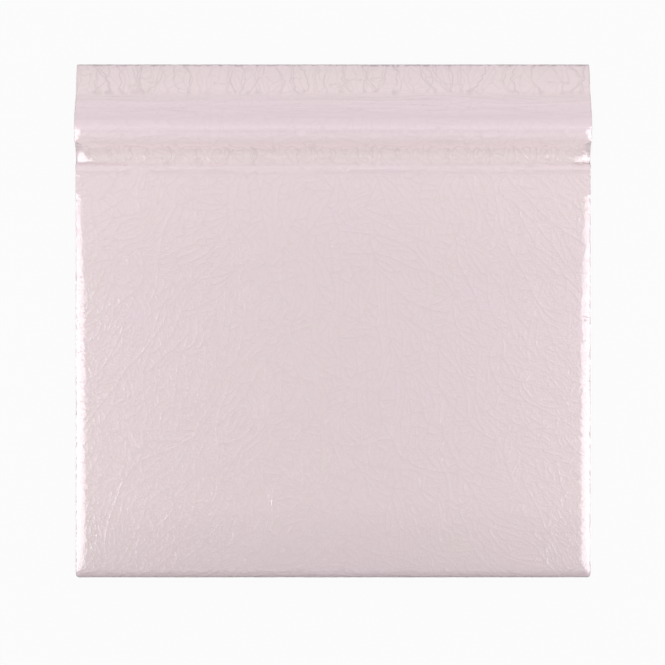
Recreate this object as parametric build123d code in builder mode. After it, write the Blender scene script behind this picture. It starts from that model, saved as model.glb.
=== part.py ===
from build123d import *

import os
from math import radians, tan

# A ceramic skirting tile: a square wall tile whose upper edge carries a bead, a cove and a fine
# arris. It was pressed in one piece, so it is one solid. Millimetres. The tile lies on its back:
# X runs across its width, Y runs up the wall to the moulded edge and Z points out of the wall.
# The origin is under the middle of the back.

# Overall sizes: the six inch module that the plain wall tiles above it share
tile_width = 152.0
tile_height = 152.0
face_thickness = 12.0

# Moulding, from the upper edge down to the plain face. Widths are measured down the wall and
# rises out from the plain face.
lip_setback = 4.8
weathering_width = 8.8
weathering_slope = 22.0
bead_back_width = 8.0
bead_rise = 5.2
bead_width = 6.3
bead_front_width = 3.0
cove_width = 3.5
arris_back_width = 1.4
arris_rise = 1.05
arris_front_width = 2.2

# Radii that round the corners of the section
lip_radius = 1.0
weathering_radius = 8.0
bead_back_radius = 8.2
bead_nose_radius = 5.4
cove_radius = 4.4
cove_heel_radius = 2.4
arris_radius = 1.5
face_start_radius = 3.0
foot_radius = 3.0

# Ends, rolled over by the glaze, and the eased edge round the back
end_radius = 1.3
back_chamfer = 0.5

# Keying recesses pressed into the back, which the adhesive fills
key_depth = 1.2
key_width = 8.5
key_land = 5.0
key_centre_land = 12.0
key_rim = 11.0
key_corner_radius = 2.5
key_draft = 12.0

upper_edge = tile_height / 2
foot_edge = -tile_height / 2


def section_corners():
    """Sharp corners of the section as (Y, Z), from the upper lip down to the foot."""
    lip_z = face_thickness - lip_setback
    weathering_z = lip_z + weathering_width * tan(radians(weathering_slope))
    bead_z = face_thickness + bead_rise
    steps_down = [
        (0, lip_z),
        (weathering_width, weathering_z),
        (bead_back_width, bead_z),
        (bead_width, bead_z),
        (bead_front_width, face_thickness),
        (cove_width, face_thickness),
        (arris_back_width, face_thickness + arris_rise),
        (arris_front_width, face_thickness),
    ]
    y = upper_edge
    corners = []
    for step, z in steps_down:
        y -= step
        corners.append(Vector(y, z))
    return corners + [Vector(foot_edge, face_thickness)]


def fitted_radii(points, radii):
    """The radii for the inner points of a path, reduced where two roundings would meet."""
    legs = [after - before for before, after in zip(points, points[1:])]
    turns = [leg.get_angle(following) for leg, following in zip(legs, legs[1:])]
    reach = [radius * tan(radians(turn) / 2) for radius, turn in zip(radii, turns)]
    taken = [first + second for first, second in zip([0, *reach], [*reach, 0])]
    room = [min(1, 0.98 * leg.length / length) for leg, length in zip(legs, taken)]
    return [radius * min(pair) for radius, pair in zip(radii, zip(room, room[1:]))]


corner_radii = [
    weathering_radius,
    bead_back_radius,
    bead_nose_radius,
    cove_radius,
    cove_heel_radius,
    arris_radius,
    face_start_radius,
    foot_radius,
]

# An even number of rows keeps a land across the middle of the back
key_length = (tile_width - 2 * key_rim - key_centre_land) / 2
key_span = tile_height - 2 * key_rim + key_land
key_rows = 2 * int(key_span // (2 * (key_width + key_land)))

with BuildPart() as skirting_tile:
    # Body: the moulded section, pressed to the full width, with its upper lip still sharp
    with BuildSketch(Plane.YZ):
        with BuildLine():
            front = [*section_corners(), Vector(foot_edge, 0)]
            moulding = FilletPolyline(*front, radius=fitted_radii(front, corner_radii))
            Polyline(moulding @ 1, (upper_edge, 0), moulding @ 0)
        make_face()
    extrude(amount=tile_width / 2, both=True)

    # Ends: rolled over along the moulding and the face, and down the corner at the foot
    rolled_edges = (
        skirting_tile.faces()
        .filter_by(Axis.X)
        .edges()
        .filter_by(lambda edge: edge.bounding_box().min.Z > 0)
    )
    fillet(rolled_edges, radius=end_radius)

    # Upper lip: a finer rolling, which runs round into the two ends
    upper_side = skirting_tile.faces().sort_by(Axis.Y)[-1]
    lip_edges = upper_side.edges().filter_by(
        lambda edge: edge.bounding_box().min.Z > face_thickness - lip_setback - 2 * end_radius
    )
    fillet(lip_edges, radius=lip_radius)

    # Back: an eased edge all round
    back_face = skirting_tile.faces().sort_by(Axis.Z)[0]
    chamfer(back_face.outer_wire().edges(), length=back_chamfer)

    # Back: two columns of shallow drafted recesses, with a land across the middle both ways
    with BuildSketch(Plane.XY):
        with GridLocations(key_length + key_centre_land, key_width + key_land, 2, key_rows):
            RectangleRounded(key_length, key_width, key_corner_radius)
    extrude(amount=key_depth, taper=key_draft, mode=Mode.SUBTRACT)

skirting_tile.part.label = "skirting_tile"

os.makedirs("parts", exist_ok=True)
export_step(skirting_tile.part, "parts/skirting_tile.step")
print("volume", round(skirting_tile.part.volume / 1000, 1), "cm3")
print("size", skirting_tile.part.bounding_box().size)
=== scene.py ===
# %% [markdown]
# A glazed skirting tile
#
# The real tile is one block of pressed and fired clay. Its face carries a thick, clear pink
# glaze, which crazed as it cooled: a net of fine cracks runs all over it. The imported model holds
# the block at its true size. This lesson dresses it: the glaze rolls over the ends, pools in the
# cove, and stands up along its cracks in fine seams. Blender works in metres, and sizes that a
# maker would give in millimetres are multiplied by mm.

# %% Load the fixed frame
import math
import random

import bmesh
import bpy
import numpy as np
from mathutils import Matrix, Vector, geometry, kdtree, noise


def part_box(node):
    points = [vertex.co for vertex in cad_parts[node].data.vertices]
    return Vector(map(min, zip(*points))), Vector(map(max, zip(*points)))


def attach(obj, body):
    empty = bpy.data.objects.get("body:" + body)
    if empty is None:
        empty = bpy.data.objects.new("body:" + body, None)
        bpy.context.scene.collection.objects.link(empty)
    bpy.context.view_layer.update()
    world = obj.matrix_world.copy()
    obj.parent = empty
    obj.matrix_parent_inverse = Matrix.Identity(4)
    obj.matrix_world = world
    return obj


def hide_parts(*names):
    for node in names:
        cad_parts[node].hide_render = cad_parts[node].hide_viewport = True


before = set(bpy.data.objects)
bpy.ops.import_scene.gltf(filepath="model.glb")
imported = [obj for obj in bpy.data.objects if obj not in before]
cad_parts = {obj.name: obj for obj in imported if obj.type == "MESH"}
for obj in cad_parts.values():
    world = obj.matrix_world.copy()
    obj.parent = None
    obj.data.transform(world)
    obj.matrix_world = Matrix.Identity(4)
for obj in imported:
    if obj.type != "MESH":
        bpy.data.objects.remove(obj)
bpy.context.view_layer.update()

mm = 0.001
body_low, body_high = (Vector(corner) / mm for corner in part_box("skirting_tile"))
tile_width, tile_height, crest_height = (round(size, 2) for size in body_high - body_low)
print("tile box in mm", tile_width, tile_height, crest_height)

# %% [markdown]
# The camera comes first, because everything is judged through it. The tile lies on its back and
# the camera looks straight down, a little nearer to the foot than to the middle of the tile. It
# stands well back with a long lens, because a near one would show the sides.

# %% Camera


def add_object(name, data):
    """Puts an object that shows this data into the scene."""
    made = bpy.data.objects.new(name, data)
    bpy.context.scene.collection.objects.link(made)
    return made


camera_height = 850 * mm
camera_low = 3.55 * mm
camera_left = 0.18 * mm
face_level = 12 * mm
view_width = 196.15 * mm

camera_data = bpy.data.cameras.new("camera")
camera_data.sensor_width = 36
camera_data.lens = camera_data.sensor_width * camera_height / view_width
camera = add_object("camera", camera_data)
camera.location = (-camera_left, -camera_low, face_level + camera_height)
bpy.context.scene.camera = camera
bpy.context.scene.view_settings.view_transform = "Standard"
print("lens in mm", round(camera_data.lens, 1))

# %% [markdown]
# The section of the tile is the same from end to end, so one path describes the whole face, and
# no surface has to be shaped by eye. The path is written as a maker's drawing gives it: sharp
# corners, each with the radius that rounds it. It starts on the upper side, climbs over the lip,
# and ends on the foot's side.

# %% Section of the face, as rounded corners
face_thickness = 12.0
lip_thickness = 7.2
weathering_rise = 3.555
arris_rise = 1.05
lip_radius = 1.0
foot_radius = 3.0
side_run = 0.6  # straight runs on the two sides, which only give the roundings a direction

# Each corner is a drop down the wall, a height above the back and a rounding radius, in mm
section_corners = [
    (0.0, lip_thickness - lip_radius - side_run, 0),
    (0.0, lip_thickness, lip_radius),
    (8.8, lip_thickness + weathering_rise, 8.0),
    (16.8, crest_height, 8.2),
    (23.1, crest_height, 5.4),
    (26.1, face_thickness, 4.4),
    (29.6, face_thickness, 2.4),
    (31.0, face_thickness + arris_rise, 1.5),
    (33.2, face_thickness, 3.0),
    (tile_height, face_thickness, foot_radius),
    (tile_height, face_thickness - foot_radius - side_run, 0),
]


def rounded_path(corners, arc_step, run_step):
    """Points along straight runs joined by arcs, as (drop, height)."""
    spots = [Vector(corner[:2]) for corner in corners]
    points = [spots[0]]
    for before, corner, after, (*_, radius) in zip(spots, spots[1:], spots[2:], corners[1:]):
        entering = (corner - before).normalized()
        leaving = (after - corner).normalized()
        side = math.copysign(1, entering.cross(leaving))
        turn = entering.angle(leaving)
        start = corner - entering * radius * math.tan(turn / 2)
        centre = start + Vector((-entering.y, entering.x)) * side * radius
        run = start - points[-1]
        pieces = max(1, math.ceil(run.length / run_step))
        points += [points[-1] + run * i / pieces for i in range(1, pieces)]
        steps = math.ceil(radius * turn / arc_step)
        for i in range(steps + 1):
            spin = Matrix.Rotation(side * turn * i / steps, 2)
            points.append(centre + spin @ (start - centre))
    return points + [spots[-1]]


path = rounded_path(section_corners, arc_step=0.35, run_step=2.5)[1:-1]
path_drop = np.array([point.x for point in path])
path_length = np.concatenate([[0], np.cumsum([(b - a).length for a, b in zip(path, path[1:])])])
sheet_length = path_length[-1]


def along(drop):
    """How far along the section a point lies that is this far down the wall."""
    return float(np.interp(drop, path_drop, path_length))


def level_at(levels, s):
    """What a list of (drop, value) pairs gives at a length of the section."""
    drops, values = zip(*levels)
    return float(np.interp(np.interp(s, path_length, path_drop), drops, values))


print("path points", len(path), "length over the face in mm", round(sheet_length, 1))

# %% [markdown]
# Glaze is runny when it melts. Surface tension rolls it over the two ends of the tile: widely
# beside the plain face, tightly beside the lip and the crest, and most widely at the ends of the
# cove, where it gathers. Melting it in a simulation would be slow and hard to steer. So one list
# gives the width of that roll at chosen drops, a second gives how thick the glaze lies, and a
# third gives painted light and shade: lighter on the moulding and in the cove, darker above the foot.

# %% Roll of the glaze over the ends
roll_by_drop = [
    (0.0, 0.4), (6.0, 0.6), (19.4, 0.7),  # lip, slope behind the bead and its crest
    (20.1, 2.2), (22.5, 2.1), (23.2, 0.7),  # front of the bead
    (23.7, 0.7), (24.4, 3.4), (29.5, 5.8),  # cove
    (29.9, 0.25), (38.4, 0.25),  # arris
    (39.2, 1.8), (72.0, 3.1), (tile_height - 5, 3.1),  # plain face
    (tile_height - 1, 1.6), (tile_height, 1.0),  # foot
]
roll_flat = tile_width / 2 - 3.2  # where the flat part ends on the unrolled sheet
roll_edge = roll_flat + 5.0  # where the sheet itself ends
roll_keep = roll_flat - 12.0  # up to here the sheet isn't stretched to meet the roll
wobble_length, wobble_share = 3.2, 0.07


def roll_width(u, s):
    """Width of the end roll at a point of the unrolled sheet, with a slow wobble."""
    wobble = noise.noise(Vector((math.copysign(7, u), s / wobble_length, 1.5)))
    return level_at(roll_by_drop, s) * (1 + wobble_share * wobble)


print("roll in the middle of the cove in mm", round(level_at(roll_by_drop, along(27)), 1))

# %% Thickness of the glaze: -1 where it is drawn thin over an edge, 1 where it has pooled
pool_by_drop = [
    (0.0, -0.6), (3.0, 0.4), (9.0, 0.1),  # lip
    (13.0, -0.8), (21.0, -0.8),  # bead
    (23.5, 0.5), (25.0, 1.0), (28.0, 0.8),  # cove
    (31.0, -0.3), (34.0, 0.0), (tile_height - 6, 0.0), (tile_height, -0.5),  # arris to foot
]


def pooled(u, s):
    """How deep the glaze lies at a point of the unrolled sheet, from -1 to 1."""
    over_end = max(0, (abs(u) - roll_flat) / (roll_edge - roll_flat))
    return level_at(pool_by_drop, s) * (1 - over_end) - over_end


print("thickness in the cove", pooled(0, along(25)))

# %% Painted light and shade by drop: lighter on the moulding and in the cove, darker above the foot
painted_shading_by_drop = [
    (0.0, 1.06), (2.0, 1.03), (5.0, 1.05), (8.5, 1.10),  # lip
    (11.0, 1.10), (12.0, 1.15), (14.3, 1.11), (16.3, 1.00),  # slope behind the bead
    (18.4, 1.02), (19.6, 1.11), (20.6, 1.02), (22.5, 1.13),  # bead
    (24.7, 1.28), (26.3, 1.11), (27.0, 1.02), (28.0, 0.99),  # cove
    (31.0, 1.07), (36.0, 1.04),  # arris
    (60.0, 1.0), (tile_height - 22, 1.01), (tile_height - 14, 0.965),  # plain face
    (tile_height - 5, 0.925), (tile_height - 2.5, 0.89),  # last of the face
    (tile_height - 1.5, 1.0), (tile_height - 0.8, 1.15),  # foot
]
print("lightness at the top of the cove", level_at(painted_shading_by_drop, along(24.7)))

# %% Glaze that fills the cove's two ends between these drops, deepest at the middle one
spoon_top, spoon_middle, spoon_bottom = 23.6, 25.2, 29.2
spoon_depth = 0.3
spoon_reach, spoon_ramp = 7, 5


def gathered(u, s):
    """Extra glaze in mm that gathers at the two ends of the cove, against the bead."""
    at_end = max(0, min(1, (abs(u) - roll_flat + spoon_reach) / spoon_ramp))
    fill = level_at([(spoon_top, 0), (spoon_middle, 1), (spoon_bottom, 0)], s)
    return spoon_depth * fill * at_end**2 * (3 - 2 * at_end)


print("most filling in mm", round(gathered(roll_flat, along(spoon_middle)), 2))

# %% [markdown]
# The cracks are drawn on the unrolled sheet of glaze, as a potter would see it peeled off flat:
# u runs across the tile and s runs down the section. A painted net wouldn't catch the light, so
# each crack is grown as a line and becomes real relief. It grows from a seed both ways until it
# meets an older crack or the edge. Long ones come first and follow the pull in the glaze.
# Shorter ones then cross between them, which gives the T-shaped meetings of real crazing. Both
# sources of chance start from a fixed seed, so the net grows the same each time. The laid points
# are kept by square cells, so that only the cells nearby are searched.

# %% Crack growing
net_seed = 11
rng = random.Random(net_seed)
noise.seed_set(net_seed)
crack_step = 0.95
turn_jitter = 0.08  # how much a crack's heading strays at each step, in radians
meeting_share = 0.8  # part of a step within which a crack runs into an older one
along_pull = 0.12  # how strongly the long cracks turn back to the pull in the glaze
tries_in_room = 9
cell_size = 1.6
laid_in_cell = {}
cracks = []


def nearest_laid(u, s, reach):
    """The nearest point of an older crack within reach, or None."""
    column, row = int(u // cell_size), int(s // cell_size)
    span = math.ceil(reach / cell_size)
    nearest, nearest_gap = None, reach**2
    for i in range(column - span, column + span + 1):
        for j in range(row - span, row + span + 1):
            for x, y in laid_in_cell.get((i, j), ()):
                gap = (x - u) ** 2 + (y - s) ** 2
                if gap < nearest_gap:
                    nearest, nearest_gap = (x, y), gap
    return nearest


def lay(points, half_width, height, stain):
    """Adds a crack to the net: its points, its seam's half width and height, and how much it darkens the
    glaze.
    """
    for u, s in points:
        laid_in_cell.setdefault((int(u // cell_size), int(s // cell_size)), []).append((u, s))
    cracks.append((np.array(points), half_width, height, stain))


def grow_arm(start, heading, bend, grain, pull, longest, region):
    """One arm of a crack, which ends at an older crack or at the region's edge."""
    arm = []
    u, s = start
    left, right, top, bottom = region
    for _ in range(int(longest / crack_step)):
        heading += bend * crack_step + rng.gauss(0, turn_jitter)
        heading += pull * math.sin(2 * (grain(u, s) - heading)) / 2
        next_u = u + crack_step * math.cos(heading)
        next_s = s - crack_step * math.sin(heading)
        u, s = max(left, min(right, next_u)), max(top, min(bottom, next_s))
        hit = nearest_laid(u, s, meeting_share * crack_step)
        if hit is not None and arm:
            return arm + [hit]
        arm.append((u, s))
        if (u, s) != (next_u, next_s):
            return arm
    return arm


def grow_net(region, passes, grain, spread):
    """Fills a region. A pass is room, heading, scatter, bend, length, half width, height, darkening."""
    left, right, top, bottom = region
    for room, across, scatter, bend, longest, half_width, height, stain in passes:
        tries = int(tries_in_room * (right - left) * (bottom - top) / room**2)
        for _ in range(tries):
            u, s = rng.uniform(left, right), rng.uniform(top, bottom)
            if nearest_laid(u, s, room * spread(u, s)) is not None:
                continue
            heading = grain(u, s) + across + rng.gauss(0, scatter)
            curl = rng.gauss(0, bend)
            rule = [grain, along_pull if across == 0 else 0.0, longest, region]
            one_way = grow_arm((u, s), heading, curl, *rule)
            other_way = grow_arm((u, s), heading + math.pi, -curl, *rule)
            share = rng.uniform(0.5, 1.4)
            line = other_way[::-1] + [(u, s)] + one_way
            lay(line, half_width, height * share, stain * share)


print("steps of a crack in mm", crack_step, "seed", net_seed)

# %% [markdown]
# On the plain face the long cracks fan out from the middle of the upper edge, so they lean one
# way on the left and the other way on the right, and slow noise leads them astray. They lie down
# along the foot, and crowd together towards it and the ends, where the glaze cooled first.

# %% Cracks of the plain face
face_top = along(33.0)
face_region = (-roll_edge, roll_edge, face_top, sheet_length)
fan_turn, fan_reach = 38, 60  # the lean in degrees, and how far out it is reached
wander_turn, wander_length = 85, 15
lying_band, lying_share = 22, 0.7
foot_band, end_band = 30, 18


def face_grain(u, s):
    """Heading of the long cracks on the face: a fan, which lies down near the foot."""
    wander = noise.noise(Vector((u / wander_length, s / wander_length, 8)))
    lean = math.radians(90 + fan_turn * max(-1, min(1, u / fan_reach)) + wander_turn * wander)
    fall = max(0, (s - (sheet_length - lying_band)) / lying_band)
    return lean + fall * (math.radians(180 if u > 0 else 0) - lean) * lying_share


def face_spread(u, s):
    """How open the net is: 1 in the middle, closer towards the foot and the ends."""
    foot = min(1, (sheet_length - s) / foot_band)
    end = min(1, (roll_edge - abs(u)) / end_band)
    return (0.8 + 0.2 * foot) * (0.7 + 0.3 * end)


face_passes = [
    (2.8, 0, 0.6, 0.05, 26, 0.35, 0.028, 0.28),
    (2.0, math.pi / 2, 0.8, 0.08, 16, 0.34, 0.027, 0.28),
    (1.5, 0.7, 1.5, 0.10, 10, 0.32, 0.025, 0.26),
    (1.2, -0.9, 1.5, 0.12, 7, 0.30, 0.023, 0.26),
]
grow_net(face_region, face_passes, face_grain, face_spread)
print("cracks on the face", len(cracks))

# %% [markdown]
# The moulding crazed in another way in each of its hollows and slopes. The cove holds a row of
# ring cracks with brackets between them. The lip has broad petals. The slope behind the bead and
# the arris have long faint streaks along the tile. The glaze boiled a little at the left end of
# the cove, and left a short row of small rings there. A grown net alone would look alike all
# over, so these are drawn first, and a fine net then fills what is left.

# %% Arcs and wavering lines
arc_step = 0.6
waver_scale = 0.7
sheet_margin = 0.4  # room in mm that the led lines keep to the edges of the sheet
drawn_half_width, drawn_height = 0.3, 0.05  # the seam of a ring or a petal


def arc_points(centre, radii, start, end):
    """Points of an arc of an ellipse on the sheet, from one angle to another in degrees."""
    sweep = math.radians(end - start)
    count = max(4, int(abs(sweep) * max(radii) / arc_step))
    angles = [math.radians(start) + sweep * i / count for i in range(count + 1)]
    return [(centre[0] + radii[0] * math.cos(a), centre[1] + radii[1] * math.sin(a)) for a in angles]


def wavy(points, sway):
    """The same line led astray by slow noise, as a crack in real glaze is."""
    spots = [Vector((x, y, 0)) for x, y in points]
    shifts = [noise.noise_vector(spot * waver_scale) * sway for spot in spots]
    led = [spot + shift for spot, shift in zip(spots, shifts)]
    inside = [spot for spot in led if abs(spot.x) < roll_edge - sheet_margin]
    return [(spot.x, max(sheet_margin, min(sheet_length - sheet_margin, spot.y))) for spot in inside]


print("points of a half circle", len(arc_points((0, 0), (2, 2), 0, 180)))

# %% Rings of the cove


def ring_row(top, bottom):
    """Broken rings and brackets in a row along the cove."""
    middle = (top + bottom) / 2
    tall = (bottom - top) / 2
    u = -roll_flat + 3
    while u < roll_flat - 1:
        radius = rng.uniform(1.0, 2.5)
        lift = rng.uniform(-0.6, 0.6)
        gap = rng.uniform(0, 360)
        ring_radii = (radius, tall * rng.uniform(0.5, 0.9))
        ring = arc_points((u, middle + lift), ring_radii, gap, gap + rng.uniform(100, 330))
        lay(wavy(ring, 0.7), drawn_half_width, drawn_height, rng.uniform(0.3, 0.75))
        for offset in (0.8, 1.5, 2.2)[: rng.randint(1, 3)]:
            for side in (0, 180):
                if rng.random() < 0.7:
                    reach = rng.uniform(20, 52)
                    wide = radius + offset * rng.uniform(0.8, 1.2)
                    bracket = arc_points((u, middle), (wide, tall * 1.1), side - reach, side + reach)
                    lay(wavy(bracket, 0.8), drawn_half_width, drawn_height, rng.uniform(0.4, 0.9))
        u += 2 * radius + rng.uniform(0.8, 5.0)


cove_top, cove_bottom = along(24.6), along(30.2)
ring_row(cove_top, cove_bottom)
print("cracks with the rings", len(cracks))

# %% Petals of the lip


def petals(top, bottom):
    """Broad leaf-shaped cracks on the lip, often doubled."""
    u = -roll_flat - 1
    while u < roll_flat:
        wide = rng.uniform(1.2, 5.0)
        bulge = rng.choice((-1, 1)) * rng.uniform(0.6, 1.6)
        lean = rng.gauss(0, 2.0)
        for shift in (0, rng.uniform(0.5, 0.9)):
            line = []
            for i in range(9):
                share = i / 8
                x = u + shift + lean * share + bulge * math.sin(math.pi * share)
                line.append((x, top + (bottom - top) * share))
            lay(wavy(line, 1.1), drawn_half_width, drawn_height, rng.uniform(0.45, 1.2))
            if rng.random() < 0.45:
                break
        if rng.random() < 0.4:
            low = rng.uniform(0.35, 0.8) * (bottom - top)
            bridge = [(u + wide * i / 6, top + low + rng.gauss(0, 0.18)) for i in range(7)]
            lay(bridge, drawn_half_width, 0.045, 0.8)
        u += wide


petals(0.8, along(8.6))
print("cracks with the petals", len(cracks))

# %% Boiled edge and streaks
boiled_rings, boiled_start, boiled_gap, boiled_turn = 10, -71.5, 1.15, 40
for i in range(boiled_rings):
    boiled_spot = (boiled_start + boiled_gap * i, along(29.7))
    ring = arc_points(boiled_spot, (0.5, 0.8), boiled_turn * i, boiled_turn * i + 260)
    lay(wavy(ring, 0.3), 0.25, 0.06, 0.5)


def streaks(top, bottom, spacing, slope, half_width, height, stain):
    """Long faint cracks that run along the tile between two levels of the sheet."""
    mean_length = 24
    count = int(2 * roll_edge * (bottom - top) / (spacing * mean_length))
    for _ in range(count):
        u, s = rng.uniform(-roll_edge, roll_edge), rng.uniform(top, bottom)
        reach = rng.uniform(7, 17)
        tilt = rng.gauss(0, slope)
        sag = rng.gauss(0, 0.5)
        steps = 12
        line = []
        for i in range(-steps, steps + 1):
            share = i / steps
            line.append((u + reach * share, s + reach * share * tilt + sag * share**2))
        line = [(x, y) for x, y in line if abs(x) < roll_edge and top <= y <= bottom]
        if len(line) > 3:
            lay(line, half_width, height, stain)


streaks(along(8.8), along(17.5), 1.1, 0.07, 0.34, 0.026, 0.2)
streaks(along(30.4), along(33.6), 1.2, 0.02, 0.25, 0.012, 0.1)
print("cracks with the streaks", len(cracks))

# %% Fine net of the moulding
hollow_passes = [
    (2.0, 0.7, 1.5, 0.08, 8, 0.30, 0.045, 0.45),
    (1.2, 2.2, 1.5, 0.10, 6, 0.29, 0.035, 0.40),
]
crest_passes = [
    (2.2, 0.7, 1.5, 0.08, 8, 0.34, 0.014, 0.20),
    (1.4, 2.2, 1.5, 0.10, 6, 0.33, 0.012, 0.20),
]
for top, bottom, passes in [
    (0.6, along(9.0), hollow_passes),
    (cove_top, cove_bottom, hollow_passes),
    (along(9.2), cove_top - 0.2, crest_passes),
    (cove_bottom + 0.2, face_top, crest_passes),
]:
    region = (-roll_edge, roll_edge, top, bottom)
    grow_net(region, passes, lambda u, s: 0.0, lambda u, s: 1.0)
print("cracks in all", len(cracks), "points", sum(len(points) for points, *_ in cracks))

# %% [markdown]
# The flat sheet is cut into triangles along every crack. Each crack gives three lines: the
# crest of its seam, and the seam's foot at each side. A constrained Delaunay cut keeps all those
# lines as edges, and fills the sheet between them with as few triangles as the curve of the
# moulding allows.

# %% Flat sheet of crazed glaze
tiny = 1e-6  # keeps a length from being divided by nothing
edge_pieces = 160
edge_margin = 0.02  # room in mm between a seam and the edge of the sheet
flat_columns, roll_columns = 48, 10
merge_gap = 1e-3  # points nearer than this become one


def beside(points, distance):
    """The line at one side of a crack, which stops short of the crack's two ends."""
    ahead = np.diff(points, axis=0)
    ahead /= np.maximum(np.linalg.norm(ahead, axis=1, keepdims=True), tiny)
    tangent = ahead[:-1] + ahead[1:]
    tangent /= np.maximum(np.linalg.norm(tangent, axis=1, keepdims=True), tiny)
    return points[1:-1] + np.column_stack([-tangent[:, 1], tangent[:, 0]]) * distance


sheet_points = []
sheet_lines = []


def add_line(points):
    """Adds a polyline to what the sheet is cut along."""
    first = len(sheet_points)
    sheet_points.extend(Vector((float(u), float(s))) for u, s in points)
    sheet_lines.extend((i, i + 1) for i in range(first, len(sheet_points) - 1))


sheet_ends = [(-roll_edge, 0), (roll_edge, 0), (roll_edge, sheet_length), (-roll_edge, sheet_length)]
for start, end in zip(sheet_ends, sheet_ends[1:] + sheet_ends[:1]):
    add_line(np.linspace(start, end, edge_pieces + 1))

for points, half_width, *_ in cracks:
    add_line(points)
    if len(points) > 3:
        for side in (-half_width, half_width):
            seam_foot = beside(points, side)
            inside = np.abs(seam_foot[:, 0]) < roll_edge - edge_margin
            inside &= seam_foot[:, 1] > edge_margin
            inside &= seam_foot[:, 1] < sheet_length - edge_margin
            if inside.all():
                add_line(seam_foot)

columns = list(np.linspace(-roll_flat, roll_flat, flat_columns))
for i in range(1, roll_columns):
    onto_roll = (roll_edge - roll_flat) * i / roll_columns
    columns += [roll_flat + onto_roll, -roll_flat - onto_roll]
for s in path_length[1:-1]:
    for u in columns:
        sheet_points.append(Vector((u, s)))

cut = geometry.delaunay_2d_cdt(sheet_points, sheet_lines, [], 0, merge_gap)
flat_points, flat_edges, flat_faces, *_ = cut
print("flat sheet points", len(flat_points), "triangles", len(flat_faces))

# %% [markdown]
# Each point of the sheet now learns what it needs later: how high it stands on the seam of a
# crack, how much the crack darkens it, how far the glaze rolls over there, how thick it lies, and
# its painted light and shade. Between the cracks the glaze waves a little, in three lengths. The
# nearest crack is found in a tree of closely spaced samples of all the cracks.

# %% Relief and tone of the sheet
sample_gap = 0.1
samples = []
for points, *kind in cracks:
    for start, end in zip(points, points[1:]):
        pieces = max(1, int(np.hypot(*(end - start)) / sample_gap))
        samples += [(*(start + (end - start) * i / pieces), *kind) for i in range(pieces)]
    samples.append((*points[-1], *kind))
sample_tree = kdtree.KDTree(len(samples))
for i, (u, s, *_) in enumerate(samples):
    sample_tree.insert((u, s, 0), i)
sample_tree.balance()

waves = [(0.8, 0.022), (1.7, 0.022), (6.0, 0.020)]  # length and height in mm


def unevenness(u, s):
    """Height in mm of the slight waves of the glaze between its cracks."""
    return sum(height * noise.noise(Vector((u / wave, s / wave, wave))) for wave, height in waves)


value_names = ("relief", "crack", "stain", "tone", "roll", "pool", "gather")
values_by_point = []
for point in flat_points:
    _, index, gap = sample_tree.find((*point, 0))
    _, _, half_width, height, stain = samples[index]
    closeness = max(0, 1 - gap / half_width)
    relief = (height * closeness + unevenness(*point)) * mm
    # The lightness by drop is painted light and shade.
    tone, pool = level_at(painted_shading_by_drop, point.y), pooled(*point)
    roll, gather = roll_width(*point) * mm, gathered(*point) * mm
    values_by_point.append((relief, closeness, closeness * stain, tone, roll, pool, gather))

print("highest seam in mm", round(max(values_by_point)[0] / mm, 3))

# %% Flat sheet as a mesh
sheet_mesh = bpy.data.meshes.new("flat_sheet")
sheet_mesh.from_pydata([(u * mm, s * mm, 0) for u, s in flat_points], flat_edges, flat_faces)
for name, values in zip(value_names, zip(*values_by_point)):
    sheet_mesh.attributes.new(name, "FLOAT", "POINT").data.foreach_set("value", values)
sheet = add_object("flat_sheet", sheet_mesh)

section_curve = bpy.data.curves.new("section", "CURVE")
section_curve.dimensions = "3D"
spline = section_curve.splines.new("POLY")
spline.points.add(len(path) - 1)
for spot, point in zip(path, spline.points):
    point.co = (0, (tile_height / 2 - spot.x) * mm, spot.y * mm, 1)
section = add_object("section", section_curve)
print("points of the section", len(spline.points))

# %% [markdown]
# The flat sheet is now bent over the tile. Hand work couldn't keep its points on the section, but
# the wrapping is a rule, so Geometry Nodes do it. For each point of the sheet the tree reads the
# place and the direction of the section at that length, rolls the point over the end of the
# tile, and then lifts it along the surface's own normal: by its relief, by the glaze that has
# gathered there, and by a slow swell, because glaze never lies quite flat. The roll has a broad
# shoulder and then a tight arris. The helpers below keep the trees readable.

# %% Helpers for node trees


def place(tree, kind, inputs=None, **settings):
    """Adds a node, sets its settings, and feeds its inputs with sockets or plain values."""
    made = tree.nodes.new(kind)
    for name, value in settings.items():
        setattr(made, name, value)
    for key, value in (inputs or {}).items():
        if isinstance(value, bpy.types.NodeSocket):
            tree.links.new(value, made.inputs[key])
        else:
            made.inputs[key].default_value = value
    return made


def maths(tree, operation, *values):
    """A Math node, as one socket."""
    return place(tree, "ShaderNodeMath", dict(enumerate(values)), operation=operation).outputs[0]


def combine(tree, x=0.0, y=0.0, z=0.0):
    """A vector from three values or sockets."""
    return place(tree, "ShaderNodeCombineXYZ", {0: x, 1: y, 2: z}).outputs[0]


def new_tree(name, kind, inputs, outputs):
    """A node group with named inputs and outputs. Returns it with its two end nodes."""
    tree = bpy.data.node_groups.new(name, kind)
    for direction, sockets in (("INPUT", inputs), ("OUTPUT", outputs)):
        for label, kind, value in sockets:
            kind = "NodeSocket" + kind
            socket = tree.interface.new_socket(label, in_out=direction, socket_type=kind)
            if value is not None:
                socket.default_value = value
    return tree, tree.nodes.new("NodeGroupInput").outputs, tree.nodes.new("NodeGroupOutput").inputs


def node_result(owner, tree, **inputs):
    """Runs a Geometry Nodes tree on an object and returns what it makes as a plain mesh."""
    modifier = owner.modifiers.new(tree.name, "NODES")
    modifier.node_group = tree
    sockets = {}
    for item in tree.interface.items_tree:
        if item.in_out == "INPUT":
            sockets[item.name] = item.identifier
    for name, value in inputs.items():
        modifier[sockets[name]] = value
    depsgraph = bpy.context.evaluated_depsgraph_get()
    mesh = bpy.data.meshes.new_from_object(owner.evaluated_get(depsgraph))
    owner.modifiers.remove(modifier)
    return mesh


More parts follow.
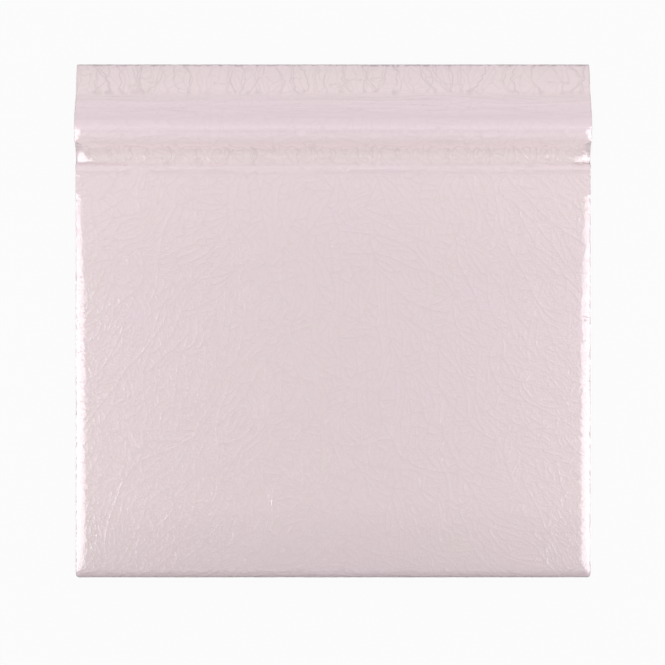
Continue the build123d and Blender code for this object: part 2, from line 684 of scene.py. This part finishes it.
# %% Tree that wraps the sheet: its inputs and the section under each point
wrap, given, result = new_tree(
    "wrap_glaze",
    "GeometryNodeTree",
    [
        ("Geometry", "Geometry", None),
        ("Section", "Object", None),
        ("Half Width", "Float", tile_width / 2 * mm),
        ("Flat Half", "Float", roll_flat * mm),
        ("Edge Half", "Float", roll_edge * mm),
        ("Keep Half", "Float", roll_keep * mm),
        ("Shoulder Angle", "Float", math.radians(45)),
        ("Arris Radius", "Float", 0.2 * mm),
        ("Swell Height", "Float", 0.05 * mm),
        ("Swell Scale", "Float", 70.0),
        ("Glaze", "Material", None),
    ],
    [("Geometry", "Geometry", None)],
)
spot = place(wrap, "GeometryNodeInputPosition").outputs[0]
across, down, _ = place(wrap, "ShaderNodeSeparateXYZ", {0: spot}).outputs
rolled, lift, gathered_glaze = (
    place(wrap, "GeometryNodeInputNamedAttribute", {"Name": name}, data_type="FLOAT").outputs[0]
    for name in ("roll", "relief", "gather")
)
section_line = place(wrap, "GeometryNodeObjectInfo", {"Object": given["Section"]}).outputs["Geometry"]
reading = place(wrap, "GeometryNodeSampleCurve", {"Curves": section_line, "Length": down}, mode="LENGTH")
_, tangent_y, tangent_z = place(wrap, "ShaderNodeSeparateXYZ", {0: reading.outputs["Tangent"]}).outputs
outward = combine(wrap, 0.0, tangent_z, maths(wrap, "MULTIPLY", tangent_y, -1.0))
print("inputs of the wrapping tree", len(given) - 1)

# %% How far round the end a point has turned
side = maths(wrap, "SIGN", across)
reach = maths(wrap, "ABSOLUTE", across)
past_flat = maths(wrap, "SUBTRACT", reach, given["Flat Half"])
roll_span = maths(wrap, "SUBTRACT", given["Edge Half"], given["Flat Half"])
share = place(wrap, "ShaderNodeClamp", {0: maths(wrap, "DIVIDE", past_flat, roll_span)}).outputs[0]
shoulder_share = 0.7  # part of the roll's rows that the shoulder takes, before the arris
on_shoulder = maths(wrap, "MINIMUM", maths(wrap, "DIVIDE", share, shoulder_share), 1.0)
on_arris = maths(wrap, "MAXIMUM", maths(wrap, "SUBTRACT", share, shoulder_share), 0.0)
on_arris = maths(wrap, "DIVIDE", on_arris, 1 - shoulder_share)
shoulder_turn = maths(wrap, "MULTIPLY", on_shoulder, given["Shoulder Angle"])
arris_angle = maths(wrap, "SUBTRACT", math.pi / 2, given["Shoulder Angle"])
turned = maths(wrap, "MULTIPLY_ADD", on_arris, arris_angle, shoulder_turn)
sine, cosine = maths(wrap, "SINE", turned), maths(wrap, "COSINE", turned)
print("nodes in the wrapping tree so far", len(wrap.nodes))

# %% Where that turn puts the point
past_keep = maths(wrap, "SUBTRACT", reach, given["Keep Half"])
keep_span = maths(wrap, "SUBTRACT", given["Flat Half"], given["Keep Half"])
stretch = place(wrap, "ShaderNodeClamp", {0: maths(wrap, "DIVIDE", past_keep, keep_span)}).outputs[0]
roll_start = maths(wrap, "SUBTRACT", given["Half Width"], rolled)
to_fill = maths(wrap, "SUBTRACT", roll_start, given["Flat Half"])
inner = maths(wrap, "MINIMUM", reach, given["Flat Half"])
inner = maths(wrap, "MULTIPLY_ADD", stretch, to_fill, inner)
past_arris = maths(wrap, "SUBTRACT", rolled, given["Arris Radius"])
shoulder_extra = maths(wrap, "DIVIDE", past_arris, maths(wrap, "SINE", given["Shoulder Angle"]))
outer = maths(wrap, "MULTIPLY_ADD", shoulder_extra, maths(wrap, "SINE", shoulder_turn), inner)
outer = maths(wrap, "MULTIPLY_ADD", given["Arris Radius"], sine, outer)
sideways = combine(wrap, maths(wrap, "MULTIPLY", outer, side))
shoulder_cosine = maths(wrap, "SUBTRACT", maths(wrap, "COSINE", shoulder_turn), 1.0)
arris_cosine = maths(wrap, "SUBTRACT", cosine, 1.0)
inset = maths(wrap, "MULTIPLY", shoulder_extra, shoulder_cosine)
inset = maths(wrap, "MULTIPLY_ADD", given["Arris Radius"], arris_cosine, inset)
print("nodes in the wrapping tree so far", len(wrap.nodes))

# %% Lift along the normal
swell = place(
    wrap,
    "ShaderNodeTexNoise",
    {"Vector": spot, "Scale": given["Swell Scale"], "Detail": 1.5, "Roughness": 0.4},
).outputs["Fac"]
swell = maths(wrap, "MULTIPLY", maths(wrap, "SUBTRACT", swell, 0.5), given["Swell Height"])
rise = maths(wrap, "ADD", swell, lift)
rise = maths(wrap, "MULTIPLY_ADD", gathered_glaze, maths(wrap, "MULTIPLY", cosine, cosine), rise)


def scaled(vector, amount):
    """A vector times a value, in the wrapping tree."""
    return place(wrap, "ShaderNodeVectorMath", {0: vector, "Scale": amount}, operation="SCALE").outputs[0]


def added(first, second):
    """Two vectors added, in the wrapping tree."""
    return place(wrap, "ShaderNodeVectorMath", {0: first, 1: second}).outputs[0]


normal = added(scaled(outward, cosine), combine(wrap, maths(wrap, "MULTIPLY", side, sine)))
wrapped = added(added(reading.outputs["Position"], sideways), scaled(outward, inset))
wrapped = added(wrapped, scaled(normal, rise))
moved = place(wrap, "GeometryNodeSetPosition", {"Geometry": given["Geometry"], "Position": wrapped})
single = place(wrap, "GeometryNodeRealizeInstances", {0: moved.outputs[0]})
glazed = place(wrap, "GeometryNodeSetMaterial", {"Geometry": single.outputs[0], "Material": given["Glaze"]})
wrap.links.new(glazed.outputs[0], result["Geometry"])
print("nodes in the wrapping tree", len(wrap.nodes))

# %% [markdown]
# Two materials finish the tile. The glaze is glass over a pink pigment: a smooth coat above a
# slightly softer base. It turns warmer where it lies thick, and paler there, which is painted
# light, most in the cove. It leans to lavender where it is drawn thin or clouded. Its lightness
# follows the section as painted light and shade, and the cracks are darkened a little. The bare
# clay is dry, cream and grainy. A mottle group serves both.

# %% Shader group for mottle
mottle, given, result = new_tree(
    "mottle",
    "ShaderNodeTree",
    [
        ("Scale", "Float", 60.0),
        ("Detail", "Float", 2.0),
        ("Low", "Float", 0.35),
        ("High", "Float", 0.65),
    ],
    [("Mask", "Float", None)],
)
place_of_point = place(mottle, "ShaderNodeTexCoord").outputs["Object"]
cloud = place(
    mottle,
    "ShaderNodeTexNoise",
    {"Vector": place_of_point, "Scale": given["Scale"], "Detail": given["Detail"]},
)
ramp = place(
    mottle,
    "ShaderNodeMapRange",
    {"Value": cloud.outputs["Fac"], "From Min": given["Low"], "From Max": given["High"]},
)
mottle.links.new(ramp.outputs[0], result["Mask"])


def use_mottle(tree, **values):
    """The mottle's mask, with its own scale, detail and contrast."""
    group = tree.nodes.new("ShaderNodeGroup")
    group.node_tree = mottle
    for key, value in values.items():
        group.inputs[key.capitalize()].default_value = value
    return group.outputs["Mask"]


def blend(tree, share, first, second):
    """A mix of two colours by a share from 0 to 1."""
    first, second = ((*item, 1) if isinstance(item, tuple) else item for item in (first, second))
    return place(tree, "ShaderNodeMix", {0: share, 6: first, 7: second}, data_type="RGBA").outputs[2]


def attribute(tree, name):
    """A value that the mesh carries, for the shader."""
    return place(tree, "ShaderNodeAttribute", attribute_name=name).outputs["Fac"]


print("nodes in the mottle", len(mottle.nodes))

# %% Helper for materials


def new_material(name, **settings):
    """A material with one Principled BSDF, whose constant values are set directly."""
    material = bpy.data.materials.new(name)
    material.use_nodes = True
    shader = material.node_tree.nodes["Principled BSDF"]
    for key, value in settings.items():
        shader.inputs[key.replace("_", " ")].default_value = value
    return material, material.node_tree, shader


# %% Glaze
glaze, tree, shader = new_material(
    "glaze", Roughness=0.25, IOR=1.6, Coat_Weight=1.0, Coat_Roughness=0.07, Coat_IOR=1.65
)
pink = (0.680, 0.563, 0.582)
lavender = (0.686, 0.557, 0.612)
warm_painted_light = (0.713, 0.598, 0.608)
dusky = (0.46, 0.37, 0.38)
thin_share, thick_share, cloud_share, crack_darkening_share = 0.7, 0.9, 0.4, 0.4
pool_depth = attribute(tree, "pool")
thinness = maths(tree, "MAXIMUM", maths(tree, "MULTIPLY", pool_depth, -1.0), 0.0)
thin = maths(tree, "MULTIPLY", thinness, thin_share)
thick = maths(tree, "MULTIPLY", maths(tree, "MAXIMUM", pool_depth, 0.0), thick_share)
clouds = use_mottle(tree, scale=45.0, detail=1.0, low=0.45, high=0.70)
clouds = maths(tree, "MULTIPLY", clouds, cloud_share)
colour = blend(tree, clouds, pink, lavender)
colour = blend(tree, thin, colour, lavender)
# The pooled colour is paler than pink: painted light where the glaze pools, most in the cove.
colour = blend(tree, thick, colour, warm_painted_light)
# The lightness by drop scales the colour: painted light and shade.
painted_shading_here = attribute(tree, "tone")
painted_shading_applied = place(tree, "ShaderNodeVectorMath", {0: colour, "Scale": painted_shading_here}, operation="SCALE")
# The cracks are darkened towards dusky, each by its own share.
stain = maths(tree, "MULTIPLY", attribute(tree, "stain"), crack_darkening_share)
colour = blend(tree, stain, painted_shading_applied.outputs[0], dusky)
tree.links.new(colour, shader.inputs["Base Color"])
orange_peel = use_mottle(tree, scale=1500.0, detail=2.0, low=0.25, high=0.75)
bump = place(tree, "ShaderNodeBump", {"Height": orange_peel, "Strength": 1.0, "Distance": 0.04 * mm})
tree.links.new(bump.outputs[0], shader.inputs["Normal"])
tree.links.new(bump.outputs[0], shader.inputs["Coat Normal"])
print("nodes in the glaze", len(tree.nodes))

# %% Bare clay
clay, tree, shader = new_material("bare_clay", Roughness=0.85, IOR=1.45)
cream, pale_cream, grit = (0.66, 0.58, 0.48), (0.74, 0.67, 0.57), (0.55, 0.47, 0.38)
grit_share = 0.3
grain_mask = use_mottle(tree, scale=900.0, detail=3.0, low=0.3, high=0.7)
patches = use_mottle(tree, scale=90.0, detail=3.0, low=0.35, high=0.65)
tint = blend(tree, patches, cream, pale_cream)
tint = blend(tree, maths(tree, "MULTIPLY", grain_mask, grit_share), tint, grit)
tree.links.new(tint, shader.inputs["Base Color"])
bump = place(tree, "ShaderNodeBump", {"Height": grain_mask, "Strength": 0.25, "Distance": 0.1 * mm})
tree.links.new(bump.outputs[0], shader.inputs["Normal"])
print("nodes in the clay", len(tree.nodes))

# %% Wrap the sheet
front_mesh = node_result(sheet, wrap, Section=section, Glaze=glaze)
for helper in (sheet, section):
    bpy.data.objects.remove(helper)
print("wrapped sheet", len(front_mesh.polygons), "triangles")

# %% [markdown]
# The glaze ends on the four sides in an uneven line, and bare clay shows below it. So each point
# of the wrapped sheet's rim gets a column of points down the side: glaze to that line, a small
# step in where its thickness ends, and clay down to the eased edge of the back. A mask in the
# shader could draw the line, but not the step. The new points take the rim's painted light and shade.

# %% Column of points on a side
glaze_thickness = 0.15
back_chamfer = 0.5
line_share, line_lift = 0.42, 1.1  # the mean height of the line, from the rim's own height
drip_height, long_drip, short_drip = 1.6, 9, 2.5
least_glaze = 0.8
clay_roughness = 0.05
glaze_index, clay_index = 0, 1


def side_column(x, y, rim_z):
    """The points under a point of the rim, from the glaze down to the back, in mm."""
    drip = noise.noise(Vector((x / long_drip, y / long_drip, 3)))
    drip += 0.5 * noise.noise(Vector((x / short_drip, y / short_drip, 5)))
    line = min(rim_z - least_glaze, line_share * rim_z + line_lift + drip_height * drip)
    rough = clay_roughness * noise.noise(Vector((x / 3, y / 3, 9)))
    rows = [
        (0.5 * (rim_z + line), 0),
        (line + 0.3, 0),
        (line + 0.05, 0.25 * glaze_thickness),
        (line, glaze_thickness),
        (0.5 * (line + back_chamfer), glaze_thickness + abs(rough)),
        (back_chamfer, glaze_thickness),
        (0, glaze_thickness + back_chamfer),
    ]
    column = []
    for z, gap in rows:
        half_x, half_y = tile_width / 2 - gap, tile_height / 2 - gap
        column.append((max(-half_x, min(half_x, x)), max(-half_y, min(half_y, y)), z))
    return column


print("points in a column", len(side_column(0, tile_height / 2, face_thickness)))

# %% Rim of the wrapped sheet, walked round
build = bmesh.new()
build.from_mesh(front_mesh)
if sum(face.normal.z for face in build.faces) < 0:
    bmesh.ops.reverse_faces(build, faces=build.faces)
rim_loops = [edge.link_loops[0] for edge in build.edges if edge.is_boundary]
next_of = {loop.vert: loop.link_loop_next.vert for loop in rim_loops}
rim = [max(next_of, key=lambda vert: (round(vert.co.y / mm, 1), -abs(vert.co.x)))]
while next_of[rim[-1]] is not rim[0]:
    rim.append(next_of[rim[-1]])
print("rim points", len(rim))

# %% Sides, where each column keeps clear of the one before, though the rim wavers at the cove
glazed_rows = 4
clearance = 0.01
corner_room, end_room = 1, 0.5
level, rising = tile_height / 2, False
painted_shading_layer = build.verts.layers.float["tone"]
columns_below = []
for vert in rim:
    x, y, z = vert.co / mm
    at_foot = y < corner_room - tile_height / 2 and abs(x) < tile_width / 2 - corner_room
    rising = rising or at_foot
    if abs(x) > tile_width / 2 - end_room:
        y = max(y, level + clearance) if rising else min(y, level - clearance)
    level = y
    column = [build.verts.new(Vector(point) * mm) for point in side_column(x, y, z)]
    # The side's points carry the rim's painted light and shade.
    for below in column:
        below[painted_shading_layer] = vert[painted_shading_layer]
    columns_below.append([vert] + column)
for near, far in zip(columns_below, columns_below[1:] + columns_below[:1]):
    for row in range(len(near) - 1):
        face = build.faces.new((far[row], near[row], near[row + 1], far[row + 1]))
        face.material_index = glaze_index if row < glazed_rows else clay_index
print("faces with the sides", len(build.faces))

# %% [markdown]
# Nobody sees the back once the tile is up, but a tiler needs it: two columns of shallow recesses
# hold the adhesive. The cups repeat, so Geometry Nodes set them out on a grid. The flat land
# between them is cut to triangles round the mouths of the cups.

# %% One keying cup
key_depth, key_width, key_land, key_centre_land = 1.2, 8.5, 5.0, 12.0
key_rim, key_corner_radius, key_draft = 11.0, 2.5, 12.0
key_length = (tile_width - 2 * key_rim - key_centre_land) / 2
key_rows = 2 * int((tile_height - 2 * key_rim + key_land) // (2 * (key_width + key_land)))
corner_steps = 6


def cup_outline(inset):
    """A rounded rectangle drawn in by an inset, as points in mm that run anticlockwise."""
    radius = key_corner_radius - inset
    points = []
    for quarter, (right, up) in enumerate([(1, 1), (-1, 1), (-1, -1), (1, -1)]):
        centre_x = right * (key_length / 2 - key_corner_radius)
        centre_y = up * (key_width / 2 - key_corner_radius)
        for i in range(corner_steps + 1):
            angle = math.pi / 2 * (quarter + i / corner_steps)
            points.append((centre_x + radius * math.cos(angle), centre_y + radius * math.sin(angle)))
    return points


cup = bmesh.new()
wall_lean = math.tan(math.radians(key_draft))
bottom_round, bottom_ease = 0.4, 0.1
levels = [
    (0, 0),
    (key_depth - bottom_round, (key_depth - bottom_round) * wall_lean),
    (key_depth - bottom_ease, key_depth * wall_lean + bottom_ease),
    (key_depth, key_depth * wall_lean + bottom_round),
]
rings = []
for z, inset in levels:
    rings.append([cup.verts.new((x * mm, y * mm, z * mm)) for x, y in cup_outline(inset)])
for low, high in zip(rings, rings[1:]):
    for i in range(len(low)):
        j = (i + 1) % len(low)
        cup.faces.new((low[j], low[i], high[i], high[j]))
cup.faces.new(rings[-1][::-1])
cup_mesh = bpy.data.meshes.new("keying_cup")
cup.to_mesh(cup_mesh)
cup.free()
cup_object = add_object("keying_cup", cup_mesh)
print("cup", len(cup_mesh.polygons), "faces, rows", key_rows)

# %% Cups set out on their grid
set_out, given, result = new_tree(
    "keying_cups",
    "GeometryNodeTree",
    [
        ("Cup", "Object", None),
        ("Column Gap", "Float", (key_length + key_centre_land) * mm),
        ("Row Gap", "Float", (key_width + key_land) * mm),
        ("Rows", "Int", key_rows),
        ("Clay", "Material", None),
    ],
    [("Geometry", "Geometry", None)],
)
gaps_along = maths(set_out, "SUBTRACT", given["Rows"], 1.0)
grid = place(
    set_out,
    "GeometryNodeMeshGrid",
    {
        "Size X": given["Column Gap"],
        "Size Y": maths(set_out, "MULTIPLY", gaps_along, given["Row Gap"]),
        "Vertices X": 2,
        "Vertices Y": given["Rows"],
    },
)
one_cup = place(set_out, "GeometryNodeObjectInfo", {"Object": given["Cup"]}).outputs["Geometry"]
copies = place(set_out, "GeometryNodeInstanceOnPoints", {"Points": grid.outputs[0], "Instance": one_cup})
joined = place(set_out, "GeometryNodeRealizeInstances", {0: copies.outputs[0]})
what_is_set = {"Geometry": joined.outputs[0], "Material": given["Clay"]}
set_clay = place(set_out, "GeometryNodeSetMaterial", what_is_set)
set_out.links.new(set_clay.outputs[0], result["Geometry"])
cups_object = add_object("keying_cups", bpy.data.meshes.new("keying_cups"))
cups = node_result(cups_object, set_out, Cup=cup_object, Clay=clay)
for helper in (cup_object, cups_object):
    bpy.data.objects.remove(helper)
print("cups", len(cups.polygons), "faces")

# %% Land of the back, and all joined to one closed shell
land_merge_gap = 1e-5
weld_gap = 0.002
crest_limit = 0.9  # from here up a point counts as lying on the crest of a seam
widest_smooth = math.radians(32)
outlines = [[column[-1].co.xy / mm for column in columns_below]]
for side in (-1, 1):
    for row in range(key_rows):
        middle_x = side * (key_length + key_centre_land) / 2
        middle_y = (row - (key_rows - 1) / 2) * (key_width + key_land)
        outlines.append([Vector((x + middle_x, y + middle_y)) for x, y in cup_outline(0)])

outline_ends = np.cumsum([len(outline) for outline in outlines])
outline_faces = [list(range(end - len(outline), end)) for end, outline in zip(outline_ends, outlines)]
land_points = [point for outline in outlines for point in outline]
land = geometry.delaunay_2d_cdt(land_points, [], outline_faces, 1, land_merge_gap)
land_verts = [build.verts.new((x * mm, y * mm, 0)) for x, y in land[0]]
for corners, inside_of in zip(land[2], land[5]):
    if inside_of == [0]:
        build.faces.new([land_verts[i] for i in reversed(corners)]).material_index = clay_index

faces_before = len(build.faces)
build.from_mesh(cups)
build.faces.ensure_lookup_table()
for face in build.faces[faces_before:]:
    face.material_index = clay_index
bmesh.ops.remove_doubles(build, verts=build.verts, dist=weld_gap * mm)
loose = [vert for vert in build.verts if not vert.link_faces]
bmesh.ops.delete(build, geom=loose, context="VERTS")

crack_layer = build.verts.layers.float["crack"]
for face in build.faces:
    face.smooth = True
for edge in build.edges:
    on_crest = min(vert[crack_layer] for vert in edge.verts) > crest_limit
    edge.smooth = not on_crest and edge.calc_face_angle(0) < widest_smooth
print("sharp edges", sum(not edge.smooth for edge in build.edges))
open_edges = sum(not edge.is_manifold for edge in build.edges)
print("open edges", open_edges, "volume in cm3", round(build.calc_volume() * 1e6, 1))

# %% The tile as one piece
tile_mesh = bpy.data.meshes.new("glazed_tile")
build.to_mesh(tile_mesh)
build.free()
tile_mesh.materials.append(glaze)
tile_mesh.materials.append(clay)
glazed_tile = add_object("glazed_tile", tile_mesh)
tile_mesh.calc_loop_triangles()
print("triangles in the tile", len(tile_mesh.loop_triangles))

# %% [markdown]
# The tile lies on a wide sheet of pale paper. Lamps alone wouldn't make it plain white without
# bleaching the tile, so the camera sees it mostly as white light, and a share of its own colour
# keeps the shadow.

# %% Floor
floor_material, tree, shader = new_material("floor", Roughness=0.9)
floor_grey, white_share = 0.35, 0.95
shader.inputs["Base Color"].default_value = (floor_grey, floor_grey, floor_grey, 1)
shader.inputs["Specular IOR Level"].default_value = 0.0
seen = place(tree, "ShaderNodeLightPath").outputs["Is Camera Ray"]
seen = maths(tree, "MULTIPLY", seen, white_share)
white = place(tree, "ShaderNodeEmission", {"Color": (1, 1, 1, 1), "Strength": 1.0})
paper = place(tree, "ShaderNodeMixShader", {0: seen, 1: shader.outputs[0]})
tree.links.new(white.outputs[0], paper.inputs[2])
tree.links.new(paper.outputs[0], tree.nodes["Material Output"].inputs["Surface"])
floor_size = 3.0
floor_mesh = bpy.data.meshes.new("floor")
half = floor_size / 2
floor_corners = [(-half, -half, 0), (half, -half, 0), (half, half, 0), (-half, half, 0)]
floor_mesh.from_pydata(floor_corners, [], [(0, 1, 2, 3)])
floor_mesh.materials.append(floor_material)
floor = add_object("floor", floor_mesh)
print("floor in metres", floor_size)

# %% [markdown]
# Light comes from all around, as in a photographer's white tent. At each side a tall strip and a
# broad high fill show only in the gloss: they draw the bright lines along the rolled ends, so
# their heights and lengths are set by where those lines start and stop. A lamp past the moulded
# edge and a low one at each side are too soft to show in the gloss, and only brighten the edges.

# %% Lights


def panel(name, middle, aim, size, radiance, in_gloss=True):
    """An area light that faces a point, and lights either the gloss or the colour of the tile."""
    data = bpy.data.lights.new(name, "AREA")
    data.shape = "RECTANGLE"
    data.size, data.size_y = size
    data.energy = radiance * math.pi * size[0] * size[1]
    light = add_object(name, data)
    light.location = middle
    facing = Vector(aim) - Vector(middle)
    light.rotation_euler = facing.to_track_quat("-Z", "Y").to_euler()
    light.visible_camera = False
    light.visible_diffuse = not in_gloss
    light.visible_glossy = in_gloss
    print(name, "radiance", radiance)


ends = ((-1, "left"), (1, "right"))
for side, name in ends:
    panel(f"{name}_strip", (side * 0.5, -0.168, 0.18), (0, -0.168, 0.18), (0.465, 0.36), 3.1)
    panel(f"{name}_fill", (side * 0.58, -0.135, 0.78), (0, -0.135, 0), (0.44, 0.6), 2.4)
panel("boom_lamp", (0, 0.13, 0.27), (0, 0.13, 0), (0.3, 0.3), 0.57, in_gloss=False)
for side, name in ends:
    lamp_spot = (side * 0.2, -0.03, 0.12)
    panel(f"{name}_lamp", lamp_spot, (0, -0.03, 0), (0.2, 0.1), 1.72, in_gloss=False)

# %% [markdown]
# The world is the cloth of the tent. It is darker overhead, where the camera looks in through a
# gap, and on the side towards the foot. Both give the gloss of the glaze its shades.

# %% World
gap_centre = -0.1  # how far the dark gap lies from overhead, towards the foot
gap_reach = 0.22
gap_share = 0.15
foot_share = 0.3
tent_strength = 0.83
gloss_strength = 1.0
world = bpy.data.worlds.new("white_tent")
bpy.context.scene.world = world
world.use_nodes = True
tree = world.node_tree
background = tree.nodes["Background"]
direction = place(tree, "ShaderNodeTexCoord").outputs["Generated"]
east, north, _ = place(tree, "ShaderNodeSeparateXYZ", {0: direction}).outputs
from_gap = combine(tree, east, maths(tree, "SUBTRACT", north, gap_centre))
from_gap = place(tree, "ShaderNodeVectorMath", {0: from_gap}, operation="LENGTH").outputs["Value"]
from_gap = maths(tree, "MINIMUM", maths(tree, "DIVIDE", from_gap, gap_reach), 1.0)
tent = maths(tree, "MULTIPLY_ADD", from_gap, 1 - gap_share, gap_share)
foot_side = place(
    tree,
    "ShaderNodeMapRange",
    {"Value": north, "From Min": -1.0, "From Max": -0.5, "To Min": foot_share},
)
tent = maths(tree, "MULTIPLY", tent, foot_side.outputs[0])
light_path = place(tree, "ShaderNodeLightPath").outputs
glossy_extra = gloss_strength - tent_strength
level = maths(tree, "MULTIPLY_ADD", light_path["Is Glossy Ray"], glossy_extra, tent_strength)
tent = maths(tree, "MULTIPLY", tent, level)
strength = maths(tree, "MAXIMUM", tent, light_path["Is Camera Ray"])
background.inputs["Color"].default_value = (1, 1, 1, 1)
tree.links.new(strength, background.inputs["Strength"])
print("nodes in the world", len(tree.nodes))

# %% [markdown]
# The tile rides on the one body of the model and stands for its solid, and the floor is only a
# stage. The two boxes are kept, so that the sizes can be compared.

# %% Join the frame and finish
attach(glazed_tile, "root")
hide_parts("skirting_tile")
